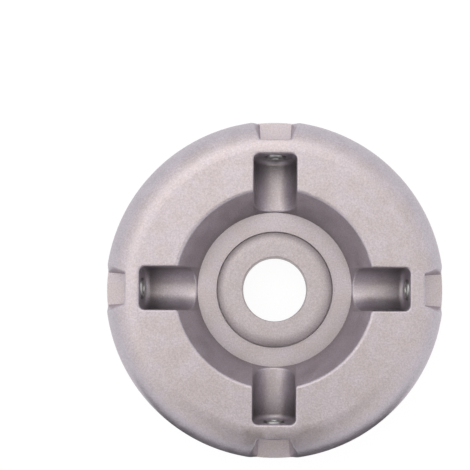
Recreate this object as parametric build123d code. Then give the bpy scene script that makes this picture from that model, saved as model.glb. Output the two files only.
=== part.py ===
from build123d import *
import math
import os

# Fixed line trimmer head, open side up.
# Millimetres. The origin is on the arbor axis, in the face that lies against the gearbox,
# and +Z points to the ground side, where the cup and the line channels open.
# Widths add up outwards from the arbor hole to the rim, and heights upwards from the back face.

# Flanged arbor bush in the hub
arbor_radius = 12.7
bush_wall = 4.5
bush_head_width = 9.5       # from the arbor hole to the edge of the head
bush_head_gap = 0.8         # open ring between the head and the casting
bush_head_rise = 3.9        # above the cup floor
bush_crown_width = 4.2      # gently rounded edge of the head
bush_crown_drop = 1.5
bush_seat_depth = 2.5       # below the cup floor
bush_clearance = 0.02
bush_front_rounding = 0.3
bush_back_chamfer = 1.0

# Cup in the middle of the casting
cup_floor = 9.0             # height
cup_floor_width = 7.5       # ring outside the seat of the bush head
cup_depth = 16.0
cup_flare = 7.2             # from the edge of the floor out to the mouth
mouth_rounding = 1.5

# Radial channels, open to the cup, with a half-round floor
line_count = 4
channel_half_width = 8.1
channel_floor_step = 0.6    # lowest line of the floor above the cup floor
channel_reach = 13.4        # beyond the cup mouth
channel_end_fillet = 2.1
channel_edge_rounding = 0.8

# Bridge and exit notch outside each channel, with side walls that flare towards the rim
bridge_thickness = 5.6
notch_reach = 10.2          # from the bridge to the rim
notch_drop = 8.7            # from the line's axis down to the floor
notch_half_width = 5.7      # of the floor, at the bridge
notch_floor_taper = 4.0     # degrees from radial
notch_lean = 0.5            # of the side walls at the bridge, from the floor to the land
notch_flare_radius = 12.8   # of the side walls, at the height of the land
notch_flare_start = 14.0    # degrees from radial, at the bridge
notch_flare_end = 84.0      # degrees from radial, past the rim
notch_corner_radius = 0.8
notch_edge_rounding = 0.8
notch_lip_rounding = 2.0    # outer edge of the floor

# Steel eyelet through each bridge
eyelet_bore_radius = 2.4
eyelet_wall = 0.9
inner_lip_width = 1.7       # half-round lip in the channel
outer_lip_width = 1.4       # half-round lip in the notch
eyelet_clearance = 0.02

# Outer form of the casting
shoulder_radius = 13.5      # rounding from the flat land into the side
side_draft = 4.0            # degrees
back_edge_rounding = 1.5

# Cored back, with four recesses between hub, rim and channels
wall = 4.0
hub_wall = 4.3              # outside the seat of the bush head
core_fillet = 2.5
core_edge_rounding = 0.6

headroom = 5.0              # how far the cutting shapes stand clear of the casting

bush_radius = arbor_radius + bush_wall
bush_head_radius = arbor_radius + bush_head_width
seat_radius = bush_head_radius + bush_head_gap
hub_radius = seat_radius + hub_wall
cup_floor_radius = seat_radius + cup_floor_width
cup_mouth_radius = cup_floor_radius + cup_flare
cone_slope = cup_flare / cup_depth
channel_end_distance = cup_mouth_radius + channel_reach
notch_wall_distance = channel_end_distance + bridge_thickness
rim_radius = notch_wall_distance + notch_reach
eyelet_radius = eyelet_bore_radius + eyelet_wall

overall_height = cup_floor + cup_depth
channel_axis = cup_floor + channel_floor_step + channel_half_width
notch_floor = channel_axis - notch_drop
bush_seat = cup_floor - bush_seat_depth
bush_top = cup_floor + bush_head_rise


def section(*edges):
    return Plane.XZ * make_face(list(edges))


def symmetric_plan(side):
    """Plan closed by straight ends, from the edges along its +Y side."""
    ends = [Line((p.X, -p.Y), (p.X, p.Y)) for p in (side[0] @ 0, side[-1] @ 1)]
    return make_face(side + [mirror(edge, Plane.XZ) for edge in side] + ends)


def turned(shape, index):
    return Rot(0, 0, index * 360 / line_count) * shape


def around(shape):
    return [turned(shape, index) for index in range(line_count)]


def spun(face):
    """Revolve a half section, with its seam midway between two channels."""
    return Rot(0, 0, 180 / line_count) * revolve(face, Axis.Z)


def dome_points(inset):
    """Corners of the outer half section, moved into the metal by inset."""
    draft = math.radians(side_draft)
    bend = (math.pi / 2 + draft) / 2
    radius = shoulder_radius - inset
    centre = overall_height - shoulder_radius
    side_top = centre + radius * math.sin(draft)
    side_radius = rim_radius - inset / math.cos(draft) - side_top * math.tan(draft)
    land_end = side_radius - radius * math.cos(draft)
    return {
        "land": (land_end, overall_height - inset),
        "middle": (land_end + radius * math.cos(bend), centre + radius * math.sin(bend)),
        "side": (side_radius, side_top),
        "back": (side_radius + side_top * math.tan(draft), 0),
    }


def make_body():
    p = dome_points(0)
    face = section(
        Line((0, 0), (0, cup_floor)),
        Line((0, cup_floor), (cup_floor_radius, cup_floor)),
        Line((cup_floor_radius, cup_floor), (cup_mouth_radius, overall_height)),
        Line((cup_mouth_radius, overall_height), p["land"]),
        ThreePointArc(p["land"], p["middle"], p["side"]),
        Line(p["side"], p["back"]),
        Line(p["back"], (0, 0)),
    )
    body = spun(face)
    body = fillet(body.edges().group_by(Axis.Z)[0], back_edge_rounding)
    mouth = body.edges().filter_by(GeomType.CIRCLE).group_by(Axis.Z)[-1].sort_by(SortBy.RADIUS)[0]
    return fillet(mouth, mouth_rounding)


def make_channel():
    height = overall_height + headroom - channel_axis
    middle = channel_end_distance / 2
    upper = Box(channel_end_distance, 2 * channel_half_width, height)
    lower = Rot(0, 90, 0) * Cylinder(channel_half_width, channel_end_distance)
    tool = Pos(middle, 0, channel_axis + height / 2) * upper + Pos(middle, 0, channel_axis) * lower
    end_edges = tool.faces().sort_by(Axis.X)[-1].edges().sort_by(Axis.Z)[:-1]
    return fillet(end_edges, channel_end_fillet)


def floor_side(distance):
    """Point on the +Y side of a notch floor, seen from above."""
    widening = (distance - notch_wall_distance) * math.tan(math.radians(notch_floor_taper))
    return (distance, notch_half_width + widening)


def flare(angle):
    """Point on the +Y side of a notch at the height of the land, by the direction of the wall there."""
    start = math.radians(notch_flare_start)
    return (
        notch_wall_distance + notch_flare_radius * (math.sin(angle) - math.sin(start)),
        notch_half_width + notch_lean + notch_flare_radius * (math.cos(start) - math.cos(angle)),
    )


def make_notch():
    start = math.radians(notch_flare_start)
    end = math.radians(notch_flare_end)
    tip = flare(end)
    outer = rim_radius + headroom
    floor = symmetric_plan([
        Line(floor_side(notch_wall_distance), floor_side(tip[0])),
        Line(floor_side(tip[0]), floor_side(outer)),
    ])
    top = symmetric_plan([
        ThreePointArc(flare(start), flare((start + end) / 2), tip),
        Line(tip, (outer, tip[1] + (outer - tip[0]) * math.tan(end))),
    ])
    notch = loft([Pos(0, 0, notch_floor) * floor, Pos(0, 0, overall_height) * top], ruled=True)
    rising = notch.edges().filter_by(lambda edge: edge.bounding_box().size.Z > notch_lip_rounding)
    return fillet(rising.sort_by(Axis.X)[:2], notch_corner_radius)


def make_lip():
    """What the rounded outer edge of a notch floor leaves off."""
    foot = notch_floor - notch_lip_rounding
    slope = math.tan(math.radians(side_draft))
    inner = rim_radius - notch_floor * slope - notch_lip_rounding
    side = rim_radius - foot * slope
    outer = rim_radius + headroom
    ring = spun(section(
        TangentArc((inner, notch_floor), (side, foot), tangent=(1, 0)),
        Line((side, foot), (outer, foot)),
        Line((outer, foot), (outer, notch_floor)),
        Line((outer, notch_floor), (inner, notch_floor)),
    ))
    floor = symmetric_plan([Line(floor_side(notch_wall_distance), floor_side(outer))])
    return ring & extrude(Pos(0, 0, foot) * floor, notch_lip_rounding)


def make_core():
    p = dome_points(wall)
    web = cup_floor - wall
    offset = wall * math.hypot(1, cone_slope)
    cone_foot = (cup_floor_radius + offset - wall * cone_slope, web)
    cone_top = (cone_foot[0] + cup_flare, overall_height - wall)
    face = section(
        Line((hub_radius, 0), (hub_radius, web)),
        Line((hub_radius, web), cone_foot),
        Line(cone_foot, cone_top),
        Line(cone_top, p["land"]),
        ThreePointArc(p["land"], p["middle"], p["side"]),
        Line(p["side"], p["back"]),
        Line(p["back"], (hub_radius, 0)),
    )
    half_width = channel_half_width + wall
    spoke = Pos(rim_radius / 2, 0, overall_height / 2) * Box(rim_radius, 2 * half_width, overall_height)
    core = spun(face) - around(spoke)
    inner_edges = core.edges().filter_by(lambda edge: edge.bounding_box().max.Z > 0.001)
    return fillet(inner_edges, core_fillet)


def make_casting():
    body = make_body()
    channels = around(make_channel())
    casting = body - channels
    casting = fillet(new_edges(body, *channels, combined=casting), channel_edge_rounding)

    notches = around(make_notch())
    notched = casting - notches
    notch_edges = new_edges(casting, *notches, combined=notched)
    casting = fillet(notch_edges - notch_edges.group_by(Axis.Z)[0], notch_edge_rounding)
    casting = casting - around(make_lip()) - make_core()
    back = casting.faces().sort_by(Axis.Z)[0]
    casting = fillet(back.inner_wires().edges(), core_edge_rounding)

    shank_hole = Cylinder(bush_radius + bush_clearance, 2 * overall_height)
    head_seat = Pos(0, 0, bush_seat + overall_height / 2) * Cylinder(seat_radius, overall_height)
    eyelet_hole = Rot(0, 90, 0) * Cylinder(eyelet_radius + eyelet_clearance, 2 * bridge_thickness)
    bridge_middle = channel_end_distance + bridge_thickness / 2
    return casting - shank_hole - head_seat - around(Pos(bridge_middle, 0, channel_axis) * eyelet_hole)


def half_round(start, end, bulge):
    middle = ((start[0] + end[0]) / 2 + bulge, (start[1] + end[1]) / 2)
    return ThreePointArc(start, middle, end)


def make_eyelet():
    inner = channel_end_distance
    outer = notch_wall_distance
    inner_lip = eyelet_bore_radius + inner_lip_width
    outer_lip = eyelet_bore_radius + outer_lip_width
    face = make_face([
        Line((inner, eyelet_bore_radius), (outer, eyelet_bore_radius)),
        half_round((outer, eyelet_bore_radius), (outer, outer_lip), outer_lip_width / 2),
        Line((outer, outer_lip), (outer, eyelet_radius)),
        Line((outer, eyelet_radius), (inner, eyelet_radius)),
        Line((inner, eyelet_radius), (inner, inner_lip)),
        half_round((inner, inner_lip), (inner, eyelet_bore_radius), -inner_lip_width / 2),
    ])
    return Pos(0, 0, channel_axis) * revolve(face, Axis.X)


def make_bush():
    crown_start = (bush_head_radius - bush_crown_width, bush_top)
    crown_end = (bush_head_radius, bush_top - bush_crown_drop)
    face = section(
        Line((arbor_radius + bush_back_chamfer, 0), (bush_radius, 0)),
        Line((bush_radius, 0), (bush_radius, bush_seat)),
        Line((bush_radius, bush_seat), (bush_head_radius, bush_seat)),
        Line((bush_head_radius, bush_seat), crown_end),
        TangentArc(crown_start, crown_end, tangent=(1, 0)),
        Line(crown_start, (arbor_radius, bush_top)),
        Line((arbor_radius, bush_top), (arbor_radius, bush_back_chamfer)),
        Line((arbor_radius, bush_back_chamfer), (arbor_radius + bush_back_chamfer, 0)),
    )
    bush = revolve(face, Axis.Z)
    front_edges = bush.edges().filter_by(GeomType.CIRCLE).group_by(Axis.Z)[-1]
    return fillet(front_edges.sort_by(SortBy.RADIUS)[0], bush_front_rounding)


nodes = {"head_casting": make_casting(), "arbor_bush": make_bush()}
for number, eyelet in enumerate(around(make_eyelet()), start=1):
    nodes[f"line_eyelet_{number}"] = eyelet

os.makedirs("parts", exist_ok=True)
for name, shape in nodes.items():
    export_step(shape, f"parts/{name}.step")
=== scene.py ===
import bpy
from mathutils import Euler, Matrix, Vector

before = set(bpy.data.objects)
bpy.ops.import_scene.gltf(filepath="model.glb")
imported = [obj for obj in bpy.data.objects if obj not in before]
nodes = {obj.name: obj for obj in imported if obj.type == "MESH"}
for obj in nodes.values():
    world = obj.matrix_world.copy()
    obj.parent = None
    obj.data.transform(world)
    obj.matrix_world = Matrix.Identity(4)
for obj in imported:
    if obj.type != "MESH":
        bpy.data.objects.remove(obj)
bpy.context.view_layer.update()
print("frame loaded:", ", ".join(sorted(nodes)))

mm = 0.001


# Small helpers for node trees

def place(tree, kind, inputs=None, **settings):  # one node, its settings and its unlinked inputs
    node = tree.nodes.new(kind)
    for name, value in settings.items():
        setattr(node, name, value)
    for name, value in (inputs or {}).items():
        node.inputs[name].default_value = value
    return node


def join(tree, source, target):
    tree.links.new(source, target)


def feed(tree, value, target):  # value is a socket, a number or a colour
    if isinstance(value, bpy.types.NodeSocket):
        join(tree, value, target)
    elif isinstance(value, (int, float)):
        target.default_value = value
    else:
        target.default_value = (*value, 1)


def calculate(tree, operation, *values):  # values are sockets or numbers
    node = place(tree, "ShaderNodeMath", operation=operation)
    for value, socket in zip(values, node.inputs):
        feed(tree, value, socket)
    return node.outputs[0]


def ramp(tree, value, low, high, toLow=0.0, toHigh=1.0):  # smooth step from low to high
    limits = {"From Min": low, "From Max": high, "To Min": toLow, "To Max": toHigh}
    node = place(tree, "ShaderNodeMapRange", limits, interpolation_type="SMOOTHSTEP")
    join(tree, value, node.inputs["Value"])
    return node.outputs["Result"]


def mixColor(tree, factor, first, second, blend="MIX"):  # first and second are sockets or tuples
    node = place(tree, "ShaderNodeMix", data_type="RGBA", blend_type=blend)
    colorFactor, colorA, colorB = node.inputs[0], node.inputs[6], node.inputs[7]
    for value, socket in ((factor, colorFactor), (first, colorA), (second, colorB)):
        feed(tree, value, socket)
    return node.outputs[2]


def lengthOf(tree, vector, keep):  # length of a vector socket times the tuple keep
    kept = place(tree, "ShaderNodeVectorMath", {1: keep}, operation="MULTIPLY")
    length = place(tree, "ShaderNodeVectorMath", operation="LENGTH")
    join(tree, vector, kept.inputs[0])
    join(tree, kept.outputs[0], length.inputs[0])
    return length.outputs["Value"]


def partsOf(tree, vector):  # the X, Y and Z sockets of a vector
    node = place(tree, "ShaderNodeSeparateXYZ")
    join(tree, vector, node.inputs[0])
    return node.outputs


def newGroup(name, inputs, outputs):
    group = bpy.data.node_groups.new(name, "ShaderNodeTree")
    for socketName, value in inputs.items():
        socket = group.interface.new_socket(socketName, in_out="INPUT", socket_type="NodeSocketFloat")
        socket.default_value = value
    for socketName in outputs:
        group.interface.new_socket(socketName, in_out="OUTPUT", socket_type="NodeSocketFloat")
    return group, group.nodes.new("NodeGroupInput"), group.nodes.new("NodeGroupOutput")


def useGroup(tree, group, values):
    return place(tree, "ShaderNodeGroup", values, node_tree=group).outputs


# Shot-blast grain: dimples, a fine noise between them, coarser mottle and rare bright specks

blasting = {
    "size": 0.45,              # mm across a dimple
    "mottleSize": 6.0,         # mm
    "speckSize": 0.5,          # mm
    "dimpleSmoothness": 0.6,
    "dimpleShare": 0.7,        # of the dimples in the height
    "fineNoise": (3.0, 0.65),  # detail and roughness
    "mottleNoise": (4.0, 0.6),
    "speckNoise": (1.0, 0.5),
    "speckLevel": (0.70, 0.78),  # where a speck starts and where it is full
}


def makeBlastGrain():
    sizes = {
        "Size": blasting["size"],
        "Mottle Size": blasting["mottleSize"],
        "Speck Size": blasting["speckSize"],
    }
    group, start, end = newGroup("blastGrain", sizes, ("Height", "Tone", "Mottle", "Specks"))
    where = place(group, "ShaderNodeTexCoord").outputs["Object"]

    def scaled(texture, size):  # size is a socket in mm
        join(group, where, texture.inputs["Vector"])
        join(group, calculate(group, "DIVIDE", 1 / mm, size), texture.inputs["Scale"])
        return texture.outputs

    def noise(size, detail, roughness):
        settings = {"Detail": detail, "Roughness": roughness}
        return scaled(place(group, "ShaderNodeTexNoise", settings), start.outputs[size])["Fac"]

    smoothness = {"Smoothness": blasting["dimpleSmoothness"]}
    dimples = place(group, "ShaderNodeTexVoronoi", smoothness, feature="SMOOTH_F1")
    distance = scaled(dimples, start.outputs["Size"])["Distance"]
    fine = noise("Size", *blasting["fineNoise"])
    dimpled = calculate(group, "MULTIPLY", distance, blasting["dimpleShare"])
    join(group, calculate(group, "ADD", dimpled, fine), end.inputs["Height"])
    join(group, fine, end.inputs["Tone"])
    join(group, noise("Mottle Size", *blasting["mottleNoise"]), end.inputs["Mottle"])
    specks = noise("Speck Size", *blasting["speckNoise"])
    join(group, ramp(group, specks, *blasting["speckLevel"]), end.inputs["Specks"])
    return group


# Worn edges, and painted shade in the sheltered corners round the hub and on the walls of the line
# channels, found from the shape itself. Each pair says where a mask starts and where it is full.

wear = {
    "edgeSamples": 6,
    "edgeTurn": (0.995, 0.86),               # cosine between the plain and the rounded normal
    "patchScale": 420.0,
    "patchDetail": 4.0,
    "patchLevel": (0.35, 0.62),
    "cornerReach": 12 * mm,
    "cornerSamples": 8,
    "cornerOpenness": (0.88, 0.40),
    "hubOutside": (52.0 * mm, 48.5 * mm),    # distances from the axis
    "hubInside": (23.5 * mm, 26.0 * mm),
    "grooveShare": 0.4,                      # of the painted corner shade in the groove round the bush
    "channelSide": (8.8 * mm, 8.2 * mm),     # from the middle of a channel
    "channelWall": (0.95, 0.45),             # Z of the normal
    "channelInside": (30.0 * mm, 33.0 * mm),
    "channelOutside": (51.5 * mm, 50.0 * mm),
}


def makeWearAndShade():
    inputs = {"Radius": 1 * mm, "Break Up": 1.0}
    group, start, end = newGroup("wearAndShade", inputs, ("Edge", "Corner Shade", "Channel Shade"))
    where = place(group, "ShaderNodeTexCoord").outputs["Object"]
    plain = place(group, "ShaderNodeNewGeometry").outputs["Normal"]

    rounded = place(group, "ShaderNodeBevel", samples=wear["edgeSamples"])
    join(group, start.outputs["Radius"], rounded.inputs["Radius"])
    turn = place(group, "ShaderNodeVectorMath", operation="DOT_PRODUCT")
    join(group, rounded.outputs["Normal"], turn.inputs[0])
    join(group, plain, turn.inputs[1])
    edge = ramp(group, turn.outputs["Value"], *wear["edgeTurn"])
    patchSize = {"Scale": wear["patchScale"], "Detail": wear["patchDetail"]}
    patches = place(group, "ShaderNodeTexNoise", patchSize)
    join(group, where, patches.inputs["Vector"])
    patchy = ramp(group, patches.outputs["Fac"], *wear["patchLevel"])
    broken = calculate(group, "MULTIPLY", start.outputs["Break Up"], patchy)
    join(group, calculate(group, "MULTIPLY", edge, broken), end.inputs["Edge"])

    # painted shade: occluded corners round the hub
    fromAxis = lengthOf(group, where, (1, 1, 0))
    corner = place(group, "ShaderNodeAmbientOcclusion", samples=wear["cornerSamples"])
    corner.inputs["Distance"].default_value = wear["cornerReach"]
    sheltered = ramp(group, corner.outputs["AO"], *wear["cornerOpenness"])
    outside = ramp(group, fromAxis, *wear["hubOutside"])
    inside = ramp(group, fromAxis, *wear["hubInside"], wear["grooveShare"])
    hub = calculate(group, "MULTIPLY", outside, inside)
    join(group, calculate(group, "MULTIPLY", sheltered, hub), end.inputs["Corner Shade"])

    # painted shade on the steep walls of the line channels
    sides = partsOf(group, where)
    fromSides = [calculate(group, "ABSOLUTE", sides[axis]) for axis in ("X", "Y")]
    across = ramp(group, calculate(group, "MINIMUM", *fromSides), *wear["channelSide"])
    upright = ramp(group, partsOf(group, plain)["Z"], *wear["channelWall"])
    outside = ramp(group, fromAxis, *wear["channelOutside"])
    inside = ramp(group, fromAxis, *wear["channelInside"])
    walls = calculate(group, "MULTIPLY", across, upright)
    along = calculate(group, "MULTIPLY", inside, outside)
    join(group, calculate(group, "MULTIPLY", walls, along), end.inputs["Channel Shade"])
    return group


blastGrain = makeBlastGrain()
wearAndShade = makeWearAndShade()
print("shader groups made")


# Blasted die-cast aluminium of the head

casting = {
    "landColor": (0.566, 0.490, 0.492),
    "coolColor": (0.535, 0.480, 0.512),   # of the cooler patches
    # painted shade: the side colour stands in for the shade on faces turned away from up
    "shadedSideColor": (0.515, 0.472, 0.518),
    # colour of the painted shade in the hub's corners and on the channel walls
    "deepShadeColor": (0.136, 0.120, 0.116),
    "wornColor": (0.630, 0.590, 0.600),
    "speckColor": (0.780, 0.740, 0.730),
    "metallic": 0.90,
    "roughness": 0.42,
    "roughnessSpread": 0.05,
    "grainSize": 0.60,         # mm
    "mottleSize": 7.0,         # mm
    "bump": 0.35,
    "bumpDepth": 0.10 * mm,
    "landRange": (0.70, 1.0),  # Z of the normal, from the painted-shade side colour to land
    "coolRange": (0.36, 0.64),
    "coolShare": 0.7,
    "toneRange": (0.25, 0.75),
    "toneSpread": 0.14,
    "mottleRange": (0.3, 0.7),
    "mottleSpread": 0.06,
    "specks": 0.5,
    "wear": 0.25,
    "wearRadius": 0.9 * mm,
    "wearBreakUp": 1.0,
    "wearPolish": 0.12,        # how much smoother a worn edge is
    "cornerShade": 0.70,           # painted shade in the occluded corners round the hub
    "channelShade": 0.32,             # and painted shade on the walls of the line channels
}

bush = dict(casting)
bush.update({
    "landColor": (0.562, 0.493, 0.493),
    "coolColor": (0.540, 0.484, 0.500),
    # painted shade on the sloping edge of the bush
    "shadedSideColor": (0.500, 0.448, 0.453),
    "roughness": 0.58,
    "grainSize": 0.55,
    "wear": 0.20,
})


def newSurface(name, metallic):
    material = bpy.data.materials.new(name)
    material.use_nodes = True
    surface = material.node_tree.nodes["Principled BSDF"]
    surface.inputs["Metallic"].default_value = metallic
    return material, material.node_tree, surface


def grainOf(tree, look):
    return useGroup(tree, blastGrain, {"Size": look["grainSize"], "Mottle Size": look["mottleSize"]})


def roughen(tree, surface, height, look):
    bump = place(tree, "ShaderNodeBump", {"Strength": look["bump"], "Distance": look["bumpDepth"]})
    join(tree, height, bump.inputs["Height"])
    join(tree, bump.outputs["Normal"], surface.inputs["Normal"])


def blastedMetal(name, look):
    material, tree, surface = newSurface(name, look["metallic"])
    grain = grainOf(tree, look)
    wearAndShadeMasks = useGroup(tree, wearAndShade, {"Radius": look["wearRadius"], "Break Up": look["wearBreakUp"]})

    def spread(value, limits, amount, middle=1):
        return ramp(tree, value, *limits, middle - amount, middle + amount)

    def covered(color, mask, amount, cover):
        return mixColor(tree, calculate(tree, "MULTIPLY", mask, amount), color, cover)

    cool = ramp(tree, grain["Mottle"], *look["coolRange"], 0.0, look["coolShare"])
    land = mixColor(tree, cool, look["landColor"], look["coolColor"])
    normal = partsOf(tree, place(tree, "ShaderNodeNewGeometry").outputs["Normal"])
    # painted shade: faces turned away from up blend into the shaded side colour
    color = mixColor(tree, ramp(tree, normal["Z"], *look["landRange"]), look["shadedSideColor"], land)
    tone = spread(grain["Tone"], look["toneRange"], look["toneSpread"])
    mottle = spread(grain["Mottle"], look["mottleRange"], look["mottleSpread"])
    shade = calculate(tree, "MULTIPLY", tone, mottle)
    gray = place(tree, "ShaderNodeCombineColor")
    for channel in gray.inputs:
        join(tree, shade, channel)
    color = mixColor(tree, 1.0, color, gray.outputs["Color"], "MULTIPLY")
    # painted shade in the occluded corners round the hub
    color = covered(color, wearAndShadeMasks["Corner Shade"], look["cornerShade"], look["deepShadeColor"])
    # painted shade on the steep walls of the line channels
    color = covered(color, wearAndShadeMasks["Channel Shade"], look["channelShade"], look["deepShadeColor"])
    color = covered(color, wearAndShadeMasks["Edge"], look["wear"], look["wornColor"])
    color = covered(color, grain["Specks"], look["specks"], look["speckColor"])
    join(tree, color, surface.inputs["Base Color"])

    rough = spread(grain["Mottle"], look["mottleRange"], look["roughnessSpread"], look["roughness"])
    polish = calculate(tree, "MULTIPLY", wearAndShadeMasks["Edge"], look["wearPolish"])
    join(tree, calculate(tree, "SUBTRACT", rough, polish), surface.inputs["Roughness"])
    roughen(tree, surface, grain["Height"], look)
    return material


# Satin hardened steel of the eyelets

eyelet = {
    "color": (0.42, 0.415, 0.41),
    "darkest": 0.9,            # share of the colour
    "roughness": (0.33, 0.44),
    "grainSize": 0.3,          # mm
    "mottleSize": 1.5,         # mm
    "mottleRange": (0.3, 0.7),
    "bump": 0.03,
    "bumpDepth": 0.03 * mm,
}


def satinSteel(name, look):
    material, tree, surface = newSurface(name, 1.0)
    grain = grainOf(tree, look)
    dark = tuple(look["darkest"] * c for c in look["color"])
    tint = ramp(tree, grain["Mottle"], *look["mottleRange"])
    join(tree, mixColor(tree, tint, dark, look["color"]), surface.inputs["Base Color"])
    rough = ramp(tree, grain["Mottle"], *look["mottleRange"], *look["roughness"])
    join(tree, rough, surface.inputs["Roughness"])
    roughen(tree, surface, grain["Height"], look)
    return material


def dress(node, material):
    node.data.materials.clear()
    node.data.materials.append(material)


dress(nodes["head_casting"], blastedMetal("blastedCasting", casting))
dress(nodes["arbor_bush"], blastedMetal("blastedBush", bush))
steel = satinSteel("eyeletSteel", eyelet)
for name, node in nodes.items():
    if name.startswith("line_eyelet"):
        dress(node, steel)
print("materials assigned")


# Floor, boards, lamps and world

studio = {
    "floorHalf": 3.0,
    "floorColor": (0.82, 0.82, 0.82),
    "floorGlow": 0.93,       # what the camera and bright metal see of the floor, 1 is white
    "floorShare": 0.12,      # of the lamps' light and the shadow kept on it
    "backdrop": 1.00,        # what they see of the world
    "worldLevel": 0.80,      # light on the object
    "paperRoughness": 0.9,   # of the floor and the boards
    "nearWidth": 0.30,
    "nearColor": (0.08, 0.075, 0.08),
    "nearLine": ((-0.055, 0.001), (-0.15, 0.001)),  # y and z along a strip on the floor
    "highWidth": 0.34,
    "highColor": (0.14, 0.13, 0.14),
    "highLine": ((-0.13, 0.31), (-0.30, 0.30), (-0.42, 0.12), (-0.42, 0.03)),  # and a sheet above it
    "boardFade": 0.3,        # full from the middle to this share of the half width
    "lampSize": 0.40,
    "keyPlace": (-0.32, 0.32, 0.65),
    "keyWatts": 0.34,
    "topPlace": (0.0, 0.45, 0.65),
    "topWatts": 0.47,
    "leftPlace": (-0.45, 0.0, 0.65),
    "leftWatts": 0.25,
}


def backdropRays(tree):  # 1 for the rays that show the background
    path = place(tree, "ShaderNodeLightPath").outputs
    shown = calculate(tree, "MAXIMUM", path["Is Camera Ray"], path["Is Glossy Ray"])
    return calculate(tree, "MAXIMUM", shown, path["Is Transmission Ray"])


def addMesh(name, corners, faces):
    mesh = bpy.data.meshes.new(name)
    mesh.from_pydata(corners, [], faces)
    thing = bpy.data.objects.new(name, mesh)
    bpy.context.scene.collection.objects.link(thing)
    return thing


def paper(name, color):
    material, tree, surface = newSurface(name, 0.0)
    surface.inputs["Base Color"].default_value = (*color, 1)
    surface.inputs["Roughness"].default_value = studio["paperRoughness"]
    return material, tree, surface.outputs[0]


def show(tree, shader):
    join(tree, shader, tree.nodes["Material Output"].inputs["Surface"])


def blend(tree, factor, first, second):  # of two shaders, where a first of None is black
    node = place(tree, "ShaderNodeMixShader")
    feed(tree, factor, node.inputs["Fac"])
    if first:
        join(tree, first, node.inputs[1])
    join(tree, second, node.inputs[2])
    return node.outputs[0]


def makeFloor():
    side = studio["floorHalf"]
    corners = [(-side, -side, 0), (side, -side, 0), (side, side, 0), (-side, side, 0)]
    floor = addMesh("floor", corners, [(0, 1, 2, 3)])
    material, tree, surface = paper("paleFloor", studio["floorColor"])
    glow = place(tree, "ShaderNodeEmission", {"Strength": studio["floorGlow"]})
    bright = place(tree, "ShaderNodeAddShader")
    join(tree, blend(tree, studio["floorShare"], None, surface), bright.inputs[0])
    join(tree, glow.outputs[0], bright.inputs[1])
    show(tree, blend(tree, backdropRays(tree), surface, bright.outputs[0]))
    floor.data.materials.append(material)


def makeBoard(name, line, width, color):  # only shows as a reflection in the near side of the metal
    half = width / 2
    corners = [(x, y, z) for y, z in line for x in (-half, half)]
    faces = [(i, i + 2, i + 3, i + 1) for i in range(0, len(corners) - 2, 2)]
    board = addMesh(name, corners, faces)
    board.visible_camera = False
    board.visible_diffuse = False
    board.visible_shadow = False
    material, tree, surface = paper(name, color)
    where = partsOf(tree, place(tree, "ShaderNodeTexCoord").outputs["Object"])
    fromMiddle = calculate(tree, "ABSOLUTE", where["X"])
    full = ramp(tree, fromMiddle, half, studio["boardFade"] * half)  # soft side edges
    clear = place(tree, "ShaderNodeBsdfTransparent").outputs[0]
    show(tree, blend(tree, full, clear, surface))
    board.data.materials.append(material)


def makeWorld():
    world = bpy.data.worlds.new("studio")
    world.use_nodes = True
    tree = world.node_tree
    background = tree.nodes["Background"]
    background.inputs["Color"].default_value = (1, 1, 1, 1)
    extra = calculate(tree, "MULTIPLY", backdropRays(tree), studio["backdrop"] - studio["worldLevel"])
    join(tree, calculate(tree, "ADD", extra, studio["worldLevel"]), background.inputs["Strength"])
    bpy.context.scene.world = world


def makeLamp(name, spot, size, watts):  # a square lamp that faces the middle of the floor
    data = bpy.data.lights.new(name, "AREA")
    data.shape = "SQUARE"
    data.size = size
    data.energy = watts
    lamp = bpy.data.objects.new(name, data)
    bpy.context.scene.collection.objects.link(lamp)
    lamp.location = spot
    lamp.rotation_euler = (-Vector(spot)).to_track_quat("-Z", "Y").to_euler()


makeFloor()
for side in ("near", "high"):
    makeBoard(side + "Board", studio[side + "Line"], studio[side + "Width"], studio[side + "Color"])
makeWorld()
for lamp in ("key", "top", "left"):
    makeLamp(lamp + "Lamp", studio[lamp + "Place"], studio["lampSize"], studio[lamp + "Watts"])
print("studio lit")


# Camera over the open side

camera = {
    "place": (-0.05 * mm, -7.57 * mm, 338.5 * mm),
    "turn": (0.024, 0.001, 0.006),
    "focalPixels": 833.2,
    "imagePixels": 470,
    "centrePixel": (273.55, 288.75),  # where the optical axis meets the picture
    "sensor": 36.0,                   # mm
    "clip": (0.01, 10),
}


def makeCamera():
    pixels = camera["imagePixels"]
    centreX, centreY = camera["centrePixel"]
    data = bpy.data.cameras.new("camera")
    data.sensor_width = camera["sensor"]
    data.lens = camera["sensor"] * camera["focalPixels"] / pixels
    data.shift_x = (pixels / 2 - centreX) / pixels
    data.shift_y = (centreY - pixels / 2) / pixels
    data.clip_start, data.clip_end = camera["clip"]
    eye = bpy.data.objects.new("camera", data)
    bpy.context.scene.collection.objects.link(eye)
    eye.location = camera["place"]
    eye.rotation_euler = Euler(camera["turn"], "XYZ")
    bpy.context.scene.camera = eye


makeCamera()
bpy.context.scene.view_settings.view_transform = "Standard"
print("camera placed")
